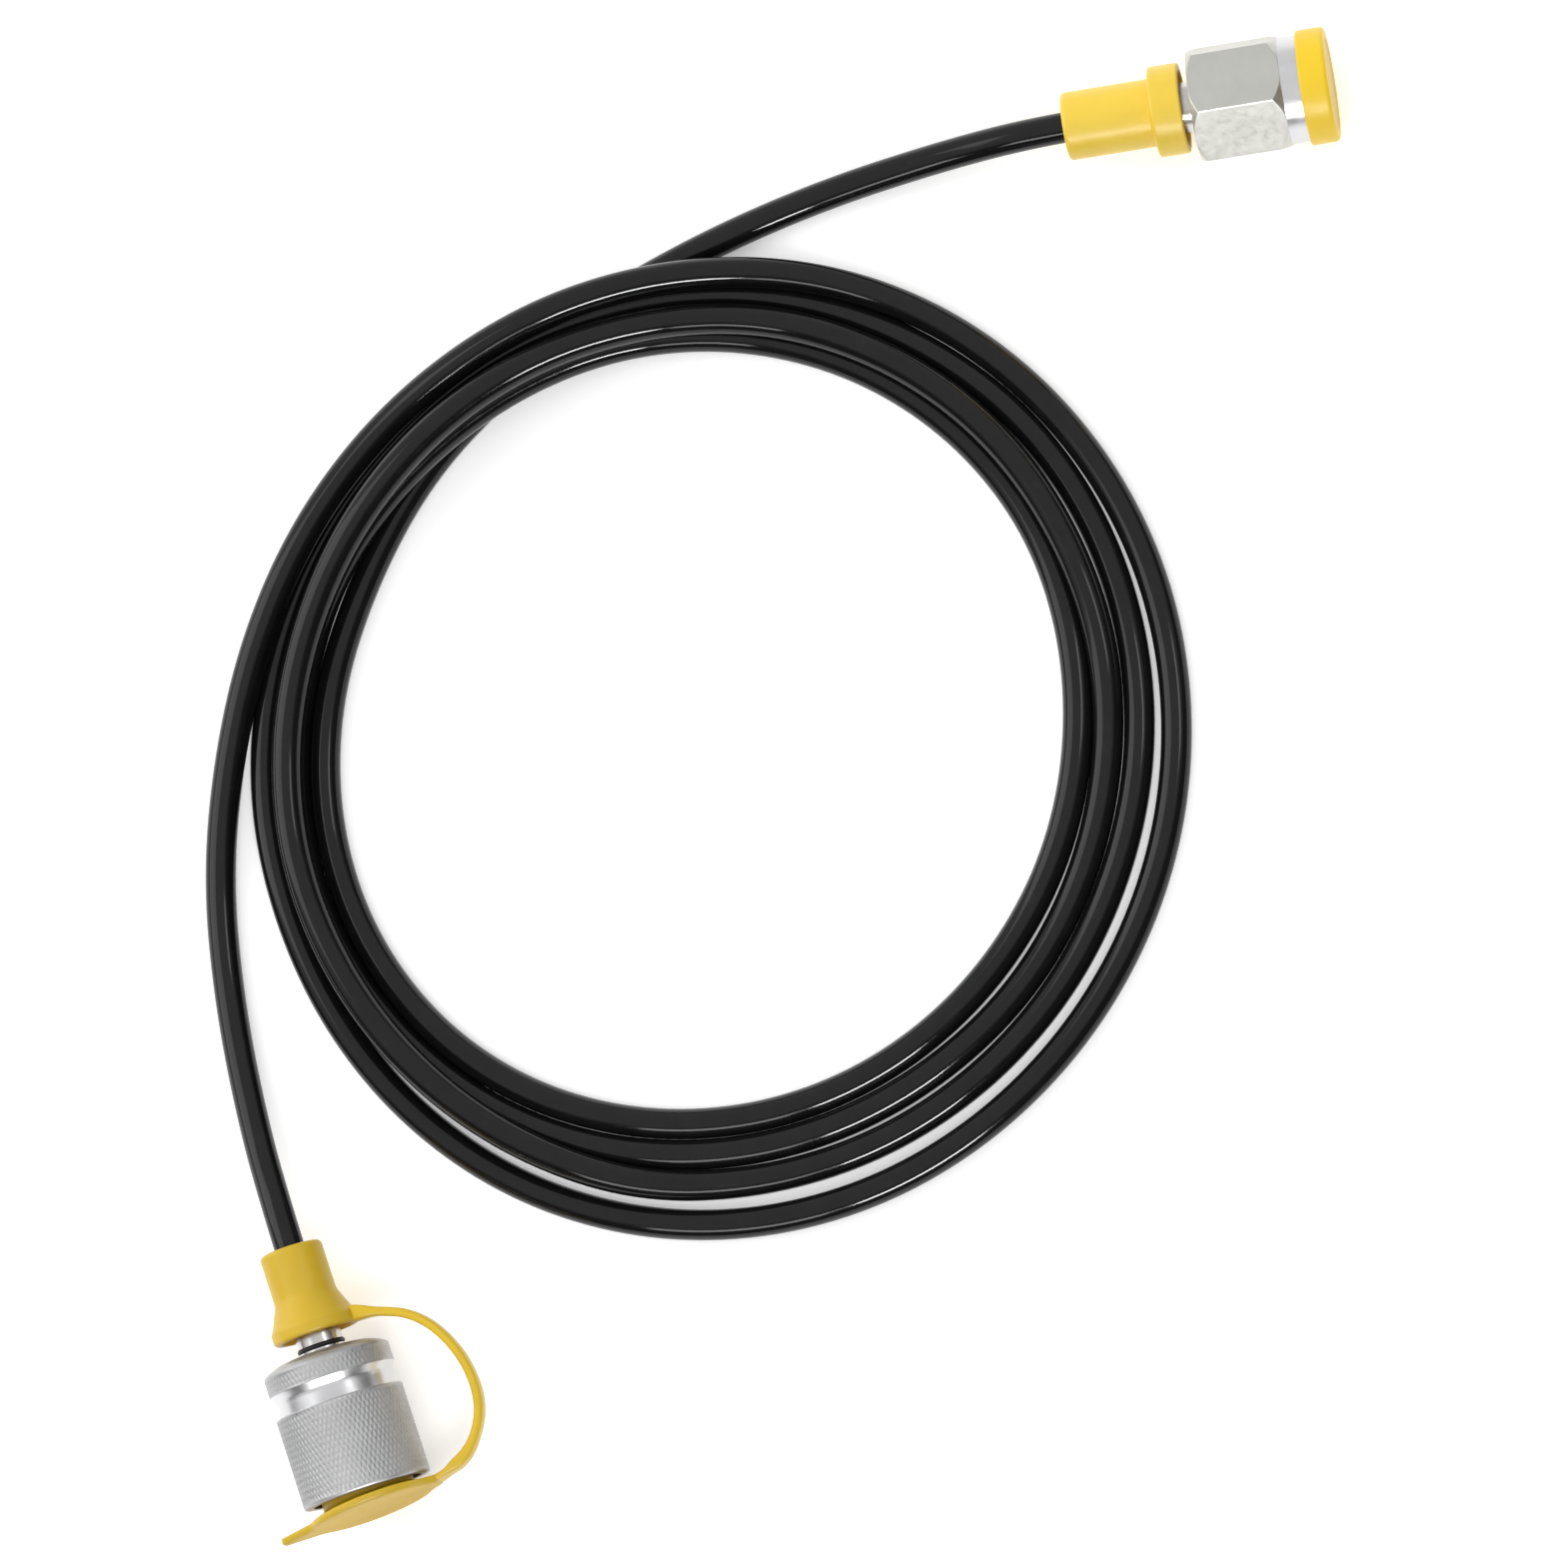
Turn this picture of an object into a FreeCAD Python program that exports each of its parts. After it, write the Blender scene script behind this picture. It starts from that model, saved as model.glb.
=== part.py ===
import FreeCAD, Part
import Sketcher
import math
import os
from FreeCAD import Vector, Placement, Rotation

# Coiled high-pressure hose assembly, 3.7 m long, with a screw-to-connect coupling half on each
# end: a hexagonal half with a press-on dust cap, and a half with a free-spinning knurled union
# sleeve that holds a dust plug on a moulded strap.
#
# Frame: millimetres, +Z up, the floor at Z = 0. The origin is below the middle of the box that
# holds the two coupling halves. Each coupling half is drawn along its own X axis, which starts
# at the face where the hose enters the boot and runs out towards the mating end.

os.makedirs("parts", exist_ok=True)
doc = FreeCAD.newDocument("coiled_hose_assembly")

# ---------------------------------------------------------------- driving dimensions
D = {
    # hose
    "hose_od": 9.3, "hose_id": 4.8, "coil_height": 18.6,
    # placing of the two coupling halves
    "hx_px": 80.72, "hx_py": 196.15, "hx_pz": 17.6, "hx_turn": 7.53, "hx_roll": -12.7,
    "kn_px": -153.89, "kn_py": -136.74, "kn_pz": 19.65, "kn_turn": -71.44,
    # hexagonal half: stations along its axis
    "hx_boot_flange": 26.5, "hx_boot_end": 36.0, "hx_boot_r": 10.2, "hx_flange_r": 13.6,
    "hx_cup_r": 11.2, "hx_cup_a": 32.0,
    "hx_fer_a": 7.0, "hx_fer_b": 24.5, "hx_hose_end": 22.0,
    "hx_neck_a": 25.0, "hx_neck_r": 7.65,
    "hx_body_a": 39.0, "hx_hex_b": 66.4, "hx_sh_b": 73.0, "hx_thr_a": 73.6, "hx_thr_b": 78.0,
    "hx_body_b": 78.6, "hex_af": 32.0, "hex_cr": 18.3, "hx_sh_r": 15.9, "hx_thr_r": 15.0,
    "hx_socket_r": 11.1, "hx_seat": 69.1, "hx_pop_end": 74.6,
    "hx_cap_a": 72.0, "hx_cap_b": 80.5, "hx_cap_r": 17.2, "hx_cap_bore": 16.2, "hx_cap_lip": 15.97,
    # knurled half
    "kn_boot_r": 9.6, "kn_boot_end": 27.2, "kn_flange_r": 13.35, "kn_cup_r": 10.8,
    "kn_fer_a": 6.0, "kn_fer_b": 22.4, "kn_hose_end": 20.0,
    "kn_neck_a": 22.8, "kn_neck_r": 7.05, "kn_body_a": 33.0, "kn_boss_r": 9.0,
    "kn_sh_a": 39.9, "kn_sh_b": 43.5, "kn_sh_r": 14.3, "kn_mid_r": 12.4,
    "kn_grv_a": 53.5, "kn_nose_a": 57.0, "kn_nose_r": 11.0, "kn_nose_b": 69.2, "kn_seat": 62.1, "kn_pop_end": 68.9,
    "kn_sl_a": 32.7, "kn_sl_bore": 9.07, "kn_sl_r": 19.65, "kn_sl_b": 76.4,
    "kn_sl_flange": 39.6, "kn_sl_cav": 15.6, "kn_sl_thr": 15.0, "kn_mouth_r": 16.65, "kn_mouth_a": 70.6,
    "kn_plug_a": 64.0, "kn_plug_r": 14.2, "kn_plug_bore": 12.3, "kn_disc_a": 79.8, "kn_disc_b": 82.2,
    "kn_disc_r": 19.4, "kn_tab_y": 29.4, "kn_tab_w": 8.6, "kn_tab_tip": 1.7,
    "strap_w": 8.0, "strap_t": 2.8,
    # what both halves share: boots, ferrules and the valve
    "boot_bore": 4.6, "boot_pocket": 8.2, "fer_r": 8.0, "fer_bore": 4.6, "ins_r": 2.45,
    "ins_bore": 1.7, "ins_neck": 3.35, "port_thr": 6.5, "port_relief": 6.2, "port_wall": 6.6,
    "port_cbore": 7.9, "cav_r": 6.2, "seat_r": 4.4, "ring_groove": 7.0, "pop_r": 5.7, "pop_nose": 3.9,
    "stem_r": 1.92, "guide_bore": 2.0, "guide_r": 6.1, "flow_r": 1.1, "flow_pcr": 4.1,
    "spring_r": 4.0, "wire_r": 0.45,
}
sheet = doc.addObject("Spreadsheet::Sheet", "Dims")
for row, name in enumerate(D, start=1):
    sheet.set("A%d" % row, name)
    sheet.set("B%d" % row, str(D[name]))
    sheet.setAlias("B%d" % row, name)
doc.recompute()


def val(c):
    """A coordinate is an alias, (alias, offset) or a plain number."""
    if isinstance(c, str):
        return D[c]
    if isinstance(c, tuple):
        return D[c[0]] + c[1]
    return float(c)


def expr(c):
    if isinstance(c, str):
        return "Dims." + c
    if isinstance(c, tuple):
        return "Dims.%s %s %g" % (c[0], "+" if c[1] >= 0 else "-", abs(c[1]))
    return None


def plane(body, role):
    for f in body.Origin.OriginFeatures:
        if f.Role == role:
            return f
    raise RuntimeError(role)


def profile_sketch(body, name, pts, role="XY_Plane"):
    """A closed polygon whose every corner is held by two distances from the sketch's origin."""
    sk = body.newObject("Sketcher::SketchObject", name)
    sk.AttachmentSupport = [(plane(body, role), "")]
    sk.MapMode = "FlatFace"
    n = len(pts)
    xy = [Vector(val(a), val(b), 0) for a, b in pts]
    for i in range(n):
        sk.addGeometry(Part.LineSegment(xy[i], xy[(i + 1) % n]), False)
    for i in range(n):
        sk.addConstraint(Sketcher.Constraint("Coincident", i, 2, (i + 1) % n, 1))
    for i, (a, b) in enumerate(pts):
        for kind, axis, c in (("DistanceX", -2, a), ("DistanceY", -1, b)):
            if abs(val(c)) < 1e-9:
                sk.addConstraint(Sketcher.Constraint("PointOnObject", i, 1, axis))
            else:
                k = sk.addConstraint(Sketcher.Constraint(kind, -1, 1, i, 1, val(c)))
                e = expr(c)
                if e:
                    sk.setExpression("Constraints[%d]" % k, e)
    return sk


def turned(label, pts):
    """A body turned about its own X axis from a profile of (station, radius) corners."""
    body = doc.addObject("PartDesign::Body", label)
    body.Label = label
    sk = profile_sketch(body, label + "_profile", pts)
    rev = body.newObject("PartDesign::Revolution", label + "_turn")
    rev.Profile = sk
    rev.ReferenceAxis = (sk, ["H_Axis"])
    rev.Angle = 360.0
    body.Tip = rev
    return body


def put(obj, side, roll=0.0):
    """Place a piece of one coupling half: turned about Z to the half's own direction."""
    q = Rotation(Vector(0, 0, 1), D[side + "_turn"]).multiply(Rotation(Vector(1, 0, 0), roll))
    obj.Placement = Placement(Vector(D[side + "_px"], D[side + "_py"], D[side + "_pz"]), q)
    for axis in "xyz":
        obj.setExpression("Placement.Base." + axis, "Dims.%s_p%s" % (side, axis))
    nodes.append(obj)


nodes = []

# ---------------------------------------------------------------- rubber boots
put(turned("hex_boot", [
    (0, "boot_bore"), (0, ("hx_boot_r", -1.0)), (1.0, "hx_boot_r"), ("hx_boot_flange", "hx_boot_r"),
    ("hx_boot_flange", ("hx_flange_r", -0.6)), (("hx_boot_flange", 0.6), "hx_flange_r"),
    (("hx_boot_end", -0.8), "hx_flange_r"), ("hx_boot_end", ("hx_flange_r", -0.8)),
    ("hx_boot_end", "hx_cup_r"), ("hx_cup_a", "hx_cup_r"), ("hx_cup_a", "boot_pocket"),
    (6.0, "boot_pocket"), (6.0, "boot_bore")]), "hx")
put(turned("sleeve_boot", [
    (0, "boot_bore"), (0, ("kn_boot_r", -1.0)), (1.0, "kn_boot_r"), (16.5, "kn_boot_r"),
    (19.5, ("kn_boot_r", 0.8)), (22.5, 12.2), (24.5, 13.2), (("kn_boot_end", -0.8), "kn_flange_r"),
    ("kn_boot_end", ("kn_flange_r", -0.8)), ("kn_boot_end", "kn_cup_r"), (24.4, "kn_cup_r"),
    (24.4, "boot_pocket"), (5.0, "boot_pocket"), (5.0, "boot_bore")]), "kn")


# ---------------------------------------------------------------- crimped ferrules
def ferrule(label, a, b):
    return turned(label, [
        (a, "fer_bore"), (a, ("fer_r", -0.6)), ((a, 0.6), "fer_r"), ((a, 4.0), "fer_r"),
        ((a, 4.5), ("fer_r", -0.5)), ((a, 6.3), ("fer_r", -0.5)), ((a, 6.8), "fer_r"),
        ((a, 10.0), "fer_r"), ((a, 10.5), ("fer_r", -0.5)), ((a, 12.3), ("fer_r", -0.5)),
        ((a, 12.8), "fer_r"), ((b, -0.6), "fer_r"), (b, ("fer_r", -0.6)), (b, ("ins_neck", 0.1)),
        ((b, -2.0), ("ins_neck", 0.1)), ((b, -2.0), "fer_bore")])


put(ferrule("hex_crimp_ferrule", "hx_fer_a", "hx_fer_b"), "hx")
put(ferrule("sleeve_crimp_ferrule", "kn_fer_a", "kn_fer_b"), "kn")

# ---------------------------------------------------------------- hose inserts
put(turned("hex_hose_insert", [
    (7.5, "ins_bore"), (7.5, 2.0), (9.0, "ins_r"), (("hx_hose_end", 0.2), "ins_r"),
    (("hx_hose_end", 0.6), "ins_neck"), ("hx_neck_a", "ins_neck"), ("hx_neck_a", ("hx_neck_r", -0.5)),
    (("hx_neck_a", 0.5), "hx_neck_r"), ("hx_body_a", "hx_neck_r"), ("hx_body_a", "port_relief"),
    (("hx_body_a", 2.0), "port_relief"), (("hx_body_a", 2.4), "port_thr"),
    (("hx_seat", -20.2), "port_thr"), (("hx_seat", -19.6), ("port_thr", -0.6)),
    (("hx_seat", -19.6), "ins_bore")]), "hx")
put(turned("sleeve_hose_insert", [
    (6.5, "ins_bore"), (6.5, 2.0), (8.0, "ins_r"), (("kn_hose_end", 0.2), "ins_r"),
    (("kn_hose_end", 0.6), "ins_neck"), ("kn_neck_a", "ins_neck"), ("kn_neck_a", ("kn_neck_r", -0.5)),
    (("kn_neck_a", 0.5), "kn_neck_r"), (30.2, "kn_neck_r"), (30.2, 6.0), (31.7, 6.0),
    (31.7, "kn_neck_r"), ("kn_body_a", "kn_neck_r"), ("kn_body_a", "port_relief"),
    (("kn_body_a", 2.0), "port_relief"), (("kn_body_a", 2.4), "port_thr"),
    (("kn_seat", -20.2), "port_thr"), (("kn_seat", -19.6), ("port_thr", -0.6)),
    (("kn_seat", -19.6), "ins_bore")]), "kn")


# ---------------------------------------------------------------- ring seals
def o_ring(label, side, station, major, minor):
    t = doc.addObject("Part::Torus", label)
    t.Label = label
    t.Radius1 = major
    t.Radius2 = minor
    q = Rotation(Vector(0, 0, 1), D[side + "_turn"]).multiply(Rotation(Vector(0, 1, 0), 90))
    base = Vector(D[side + "_px"], D[side + "_py"], D[side + "_pz"])
    along = Rotation(Vector(0, 0, 1), D[side + "_turn"]).multVec(Vector(station, 0, 0))
    t.Placement = Placement(base + along, q)
    nodes.append(t)
    return t


o_ring("hex_port_seal", "hx", D["hx_body_a"] + 0.8, 7.0, 0.7)
o_ring("sleeve_port_seal", "kn", D["kn_body_a"] + 0.8, 7.0, 0.7)
o_ring("neck_o_ring", "kn", 30.95, 6.75, 0.7)
o_ring("nose_o_ring", "kn", D["kn_nose_a"] - 1.0, 10.9, 0.95)
o_ring("hex_poppet_seal", "hx", D["hx_seat"] - 1.1, 5.2, 0.55)
o_ring("sleeve_poppet_seal", "kn", D["kn_seat"] - 1.1, 5.2, 0.55)
put(turned("nose_backup_ring", [
    (("kn_grv_a", 0.2), ("kn_nose_r", -1.05)), (("kn_grv_a", 1.4), ("kn_nose_r", -1.05)),
    (("kn_grv_a", 1.4), ("kn_nose_r", 0.6)), (("kn_grv_a", 0.2), ("kn_nose_r", 0.6))]), "kn")

# ---------------------------------------------------------------- hexagonal body
# turned first, then six flats are milled off with a ring that has a hexagonal hole
turn = turned("hex_body_turned", [
    ("hx_body_a", "port_cbore"), ("hx_body_a", 16.2), (("hx_body_a", 2.1), "hex_cr"),
    (("hx_hex_b", -2.8), "hex_cr"), ("hx_hex_b", "hx_sh_r"), ("hx_sh_b", "hx_sh_r"),
    ("hx_sh_b", ("hx_thr_r", -0.8)), ("hx_thr_a", ("hx_thr_r", -0.8)), ("hx_thr_a", "hx_thr_r"),
    ("hx_thr_b", "hx_thr_r"), ("hx_body_b", ("hx_thr_r", -0.6)), ("hx_body_b", ("hx_socket_r", 0.5)),
    (("hx_body_b", -0.5), "hx_socket_r"), (("hx_seat", 2.5), "hx_socket_r"), (("hx_seat", 2.5), "seat_r"),
    (("hx_seat", 1.5), "seat_r"), ("hx_seat", "cav_r"), (("hx_seat", -15.4), "cav_r"),
    (("hx_seat", -15.4), "ring_groove"), (("hx_seat", -16.6), "ring_groove"), (("hx_seat", -16.6), "cav_r"),
    (("hx_seat", -18.1), "cav_r"), (("hx_seat", -18.1), "port_wall"),
    (("hx_body_a", 1.6), "port_wall"), (("hx_body_a", 1.6), "port_cbore")])
mill = doc.addObject("PartDesign::Body", "hex_mill")
msk = mill.newObject("Sketcher::SketchObject", "hex_mill_ring")
msk.AttachmentSupport = [(plane(mill, "YZ_Plane"), "")]
msk.MapMode = "FlatFace"
msk.addGeometry(Part.Circle(Vector(0, 0, 0), Vector(0, 0, 1), 24.0), False)
msk.addConstraint(Sketcher.Constraint("Coincident", 0, 3, -1, 1))
msk.addConstraint(Sketcher.Constraint("Radius", 0, 24.0))
point_r = D["hex_af"] / math.sqrt(3.0)
corner = [Vector(point_r * math.cos(math.radians(60 * i)), point_r * math.sin(math.radians(60 * i)), 0) for i in range(6)]
for i in range(6):
    msk.addGeometry(Part.LineSegment(corner[i], corner[(i + 1) % 6]), False)
guide_circle = msk.addGeometry(Part.Circle(Vector(0, 0, 0), Vector(0, 0, 1), D["hex_af"] / 2.0), True)
msk.addConstraint(Sketcher.Constraint("Coincident", guide_circle, 3, -1, 1))
for i in range(6):
    msk.addConstraint(Sketcher.Constraint("Coincident", 1 + i, 2, 1 + (i + 1) % 6, 1))
for i in range(6):
    msk.addConstraint(Sketcher.Constraint("Tangent", 1 + i, guide_circle))
for i in range(5):
    msk.addConstraint(Sketcher.Constraint("Equal", 1 + i, 2 + i))
msk.addConstraint(Sketcher.Constraint("Horizontal", 2))
k = msk.addConstraint(Sketcher.Constraint("Radius", guide_circle, D["hex_af"] / 2.0))
msk.setExpression("Constraints[%d]" % k, "Dims.hex_af / 2")
pad = mill.newObject("PartDesign::Pad", "hex_mill_pad")
pad.Profile = msk
pad.Length = D["hx_hex_b"] - D["hx_body_a"] + 4.0
pad.setExpression("Length", "Dims.hx_hex_b - Dims.hx_body_a + 4")
mill.Tip = pad
mill.Placement = Placement(Vector(D["hx_body_a"] - 4.0, 0, 0), Rotation())
mill.setExpression("Placement.Base.x", "Dims.hx_body_a - 4")
hexb = doc.addObject("Part::Cut", "hex_body")
hexb.Label = "hex_body"
hexb.Base = turn
hexb.Tool = mill
put(hexb, "hx", D["hx_roll"])

# ---------------------------------------------------------------- body of the knurled half
put(turned("nose_body", [
    ("kn_body_a", "port_cbore"), ("kn_body_a", "kn_boss_r"), ("kn_sh_a", "kn_boss_r"), ("kn_sh_a", "kn_sh_r"),
    ("kn_sh_b", "kn_sh_r"), (("kn_sh_b", 0.8), "kn_mid_r"), ("kn_grv_a", "kn_mid_r"),
    ("kn_grv_a", ("kn_nose_r", -1.1)), ("kn_nose_a", ("kn_nose_r", -1.1)), ("kn_nose_a", "kn_nose_r"),
    (("kn_nose_b", -0.6), "kn_nose_r"), ("kn_nose_b", ("kn_nose_r", -0.6)), ("kn_nose_b", ("seat_r", 0.5)),
    (("kn_nose_b", -0.5), "seat_r"), (("kn_seat", 1.5), "seat_r"), ("kn_seat", "cav_r"),
    (("kn_seat", -15.4), "cav_r"), (("kn_seat", -15.4), "ring_groove"), (("kn_seat", -16.6), "ring_groove"),
    (("kn_seat", -16.6), "cav_r"), (("kn_seat", -18.1), "cav_r"), (("kn_seat", -18.1), "port_wall"),
    (("kn_body_a", 1.6), "port_wall"), (("kn_body_a", 1.6), "port_cbore")]), "kn")


# ---------------------------------------------------------------- the check valve in each half
def snap_ring(label, side, seat):
    """An open retaining ring in its groove, with a 50 degree gap."""
    body = doc.addObject("PartDesign::Body", label)
    body.Label = label
    sk = body.newObject("Sketcher::SketchObject", label + "_outline")
    sk.AttachmentSupport = [(plane(body, "YZ_Plane"), "")]
    sk.MapMode = "FlatFace"
    r0, r1, g = 4.9, D["ring_groove"] - 0.1, math.radians(25)
    zax = Vector(0, 0, 1)
    sk.addGeometry(Part.ArcOfCircle(Part.Circle(Vector(0, 0, 0), zax, r1), g, 2 * math.pi - g), False)
    sk.addGeometry(Part.ArcOfCircle(Part.Circle(Vector(0, 0, 0), zax, r0), g, 2 * math.pi - g), False)
    for j in (1, -1):
        sk.addGeometry(Part.LineSegment(Vector(r0 * math.cos(g), j * r0 * math.sin(g), 0), Vector(r1 * math.cos(g), j * r1 * math.sin(g), 0)), False)
    sk.addConstraint(Sketcher.Constraint("Coincident", 0, 3, -1, 1))
    sk.addConstraint(Sketcher.Constraint("Coincident", 1, 3, -1, 1))
    sk.addConstraint(Sketcher.Constraint("Coincident", 0, 1, 2, 2))
    sk.addConstraint(Sketcher.Constraint("Coincident", 1, 1, 2, 1))
    sk.addConstraint(Sketcher.Constraint("Coincident", 0, 2, 3, 2))
    sk.addConstraint(Sketcher.Constraint("Coincident", 1, 2, 3, 1))
    k = sk.addConstraint(Sketcher.Constraint("Radius", 0, r1))
    sk.setExpression("Constraints[%d]" % k, "Dims.ring_groove - 0.1")
    sk.addConstraint(Sketcher.Constraint("Radius", 1, r0))
    p = body.newObject("PartDesign::Pad", label + "_pad")
    p.Profile = sk
    p.Length = 1.0
    body.Tip = p
    q = Rotation(Vector(0, 0, 1), D[side + "_turn"])
    base = Vector(D[side + "_px"], D[side + "_py"], D[side + "_pz"])
    body.Placement = Placement(base + q.multVec(Vector(D[seat] - 16.5, 0, 0)), q)
    nodes.append(body)


def valve_guide(label, side, seat):
    """A disc that guides the poppet's stem, with four holes for the oil."""
    body = turned(label, [
        ((seat, -15.3), "guide_bore"), ((seat, -12.9), "guide_bore"), ((seat, -12.9), "guide_r"), ((seat, -15.3), "guide_r")])
    sk = body.newObject("Sketcher::SketchObject", label + "_flow")
    sk.AttachmentSupport = [(plane(body, "YZ_Plane"), "")]
    sk.MapMode = "FlatFace"
    sk.AttachmentOffset = Placement(Vector(0, 0, D[seat] - 20.0), Rotation())
    sk.setExpression("AttachmentOffset.Base.z", "Dims.%s - 20" % seat)
    sk.addGeometry(Part.Circle(Vector(0, D["flow_pcr"], 0), Vector(0, 0, 1), D["flow_r"]), False)
    sk.addConstraint(Sketcher.Constraint("PointOnObject", 0, 3, -2))
    k = sk.addConstraint(Sketcher.Constraint("DistanceY", -1, 1, 0, 3, D["flow_pcr"]))
    sk.setExpression("Constraints[%d]" % k, "Dims.flow_pcr")
    k = sk.addConstraint(Sketcher.Constraint("Radius", 0, D["flow_r"]))
    sk.setExpression("Constraints[%d]" % k, "Dims.flow_r")
    pk = body.newObject("PartDesign::Pocket", label + "_drill")
    pk.Profile = sk
    pk.Length = 12.0
    pk.Reversed = True
    body.Tip = pk
    pp = body.newObject("PartDesign::PolarPattern", label + "_holes")
    pp.Originals = [pk]
    pp.Axis = (plane(body, "X_Axis"), [""])
    pp.Angle = 360.0
    pp.Occurrences = 4
    body.Tip = pp
    put(body, side)
    return body


def poppet(label, side, seat, nose):
    put(turned(label, [
        ((seat, -16.1), 0), ((seat, -16.1), ("stem_r", -0.4)), ((seat, -15.7), "stem_r"), ((seat, -6.1), "stem_r"),
        ((seat, -6.1), "pop_r"), ((seat, -1.7), "pop_r"), ((seat, -1.7), 4.6), ((seat, -0.5), 4.6),
        ((seat, -0.5), 5.2), ((seat, -0.1), 5.2), ((seat, 1.1), "pop_nose"), ((nose, -0.4), "pop_nose"),
        (nose, ("pop_nose", -0.4)), (nose, 0)]), side)


def spring(label, side, seat):
    """The poppet's closing spring: wire on a helix about the half's own axis, drawn ten-sided."""
    a0, a1 = D[seat] - 12.3, D[seat] - 6.7
    r, w = D["spring_r"], D["wire_r"]
    helix = Part.makeHelix((a1 - a0) / 3.5, a1 - a0, r)
    turn10 = [2.0 * math.pi * i / 10 for i in range(11)]
    ring = Part.makePolygon([Vector(r + w * math.cos(t), 0, w * math.sin(t)) for t in turn10[:-1]] + [Vector(r + w, 0, 0)])
    coil = Part.Wire(helix.Edges).makePipeShell([ring], True, True)
    f = doc.addObject("Part::Feature", label)
    f.Label = label
    f.Shape = coil
    q = Rotation(Vector(0, 0, 1), D[side + "_turn"])
    base = Vector(D[side + "_px"], D[side + "_py"], D[side + "_pz"])
    f.Placement = Placement(base + q.multVec(Vector(a0, 0, 0)), q.multiply(Rotation(Vector(0, 1, 0), 90)))
    nodes.append(f)
    return f


snap_ring("hex_snap_ring", "hx", "hx_seat")
snap_ring("sleeve_snap_ring", "kn", "kn_seat")
guides = [valve_guide("hex_valve_guide", "hx", "hx_seat"), valve_guide("sleeve_valve_guide", "kn", "kn_seat")]
poppet("hex_poppet", "hx", "hx_seat", "hx_pop_end")
poppet("sleeve_poppet", "kn", "kn_seat", "kn_pop_end")
springs = [spring("hex_poppet_spring", "hx", "hx_seat"), spring("sleeve_poppet_spring", "kn", "kn_seat")]

# ---------------------------------------------------------------- dust cap of the hexagonal half
put(turned("dust_cap", [
    ("hx_cap_a", "hx_cap_lip"), ("hx_cap_a", ("hx_cap_r", -0.7)), (("hx_cap_a", 0.7), "hx_cap_r"),
    (("hx_cap_b", -1.0), "hx_cap_r"), ("hx_cap_b", ("hx_cap_r", -1.2)), ("hx_cap_b", ("hx_cap_r", -3.0)),
    (("hx_cap_b", -0.5), 11.0), (("hx_cap_b", -0.5), 0), (("hx_body_b", 0.2), 0),
    (("hx_body_b", 0.2), "hx_cap_bore"), (("hx_cap_a", 0.8), "hx_cap_bore"), (("hx_cap_a", 0.8), "hx_cap_lip")]), "hx")

# ---------------------------------------------------------------- knurled union sleeve
put(turned("union_sleeve", [
    ("kn_sl_a", "kn_sl_bore"), ("kn_sl_a", 11.5), (33.2, 14.6), (34.4, 17.5), (35.6, 19.0), (36.4, 19.45),
    (41.4, 19.45), (43.4, 18.3), (44.2, 18.1), (47.8, 18.1), (48.4, "kn_sl_r"),
    (("kn_sl_b", -0.9), "kn_sl_r"), ("kn_sl_b", ("kn_sl_r", -0.9)), ("kn_sl_b", "kn_mouth_r"),
    ("kn_mouth_a", "kn_mouth_r"), (("kn_mouth_a", -1.4), "kn_sl_thr"), (50.6, "kn_sl_thr"), (50.0, "kn_sl_cav"),
    ("kn_sl_flange", "kn_sl_cav"), ("kn_sl_flange", "kn_sl_bore")]), "kn")

# ---------------------------------------------------------------- dust plug with its pull tab
plug_turned = turned("dust_plug_turned", [
    ("kn_plug_a", "kn_plug_bore"), ("kn_plug_a", ("kn_plug_r", -0.6)), (("kn_plug_a", 0.6), "kn_plug_r"),
    (("kn_disc_a", -1.8), "kn_plug_r"), (("kn_disc_a", -0.7), ("kn_plug_r", 0.9)), ("kn_disc_a", ("kn_plug_r", 2.8)),
    ("kn_disc_a", ("kn_disc_r", -0.5)), (("kn_disc_a", 0.5), "kn_disc_r"),
    (("kn_disc_b", -0.7), "kn_disc_r"), ("kn_disc_b", ("kn_disc_r", -0.7)), ("kn_disc_b", 0),
    (("kn_disc_a", -0.4), 0), (("kn_disc_a", -0.4), "kn_plug_bore")])
tab = doc.addObject("PartDesign::Body", "pull_tab")
tsk = profile_sketch(tab, "pull_tab_outline", [(-12.0, "kn_tab_w"), (-12.0, -8.6), (-29.4, -1.7), (-29.4, 1.7)], "YZ_Plane")
tsk.AttachmentOffset = Placement(Vector(0, 0, D["kn_disc_a"]), Rotation())
tsk.setExpression("AttachmentOffset.Base.z", "Dims.kn_disc_a")
tpad = tab.newObject("PartDesign::Pad", "pull_tab_pad")
tpad.Profile = tsk
tpad.Length = 2.4
tpad.setExpression("Length", "Dims.kn_disc_b - Dims.kn_disc_a")
tab.Tip = tpad
plug = doc.addObject("Part::Fuse", "dust_plug")
plug.Label = "dust_plug"
plug.Base = plug_turned
plug.Tool = tab
put(plug, "kn")


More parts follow.
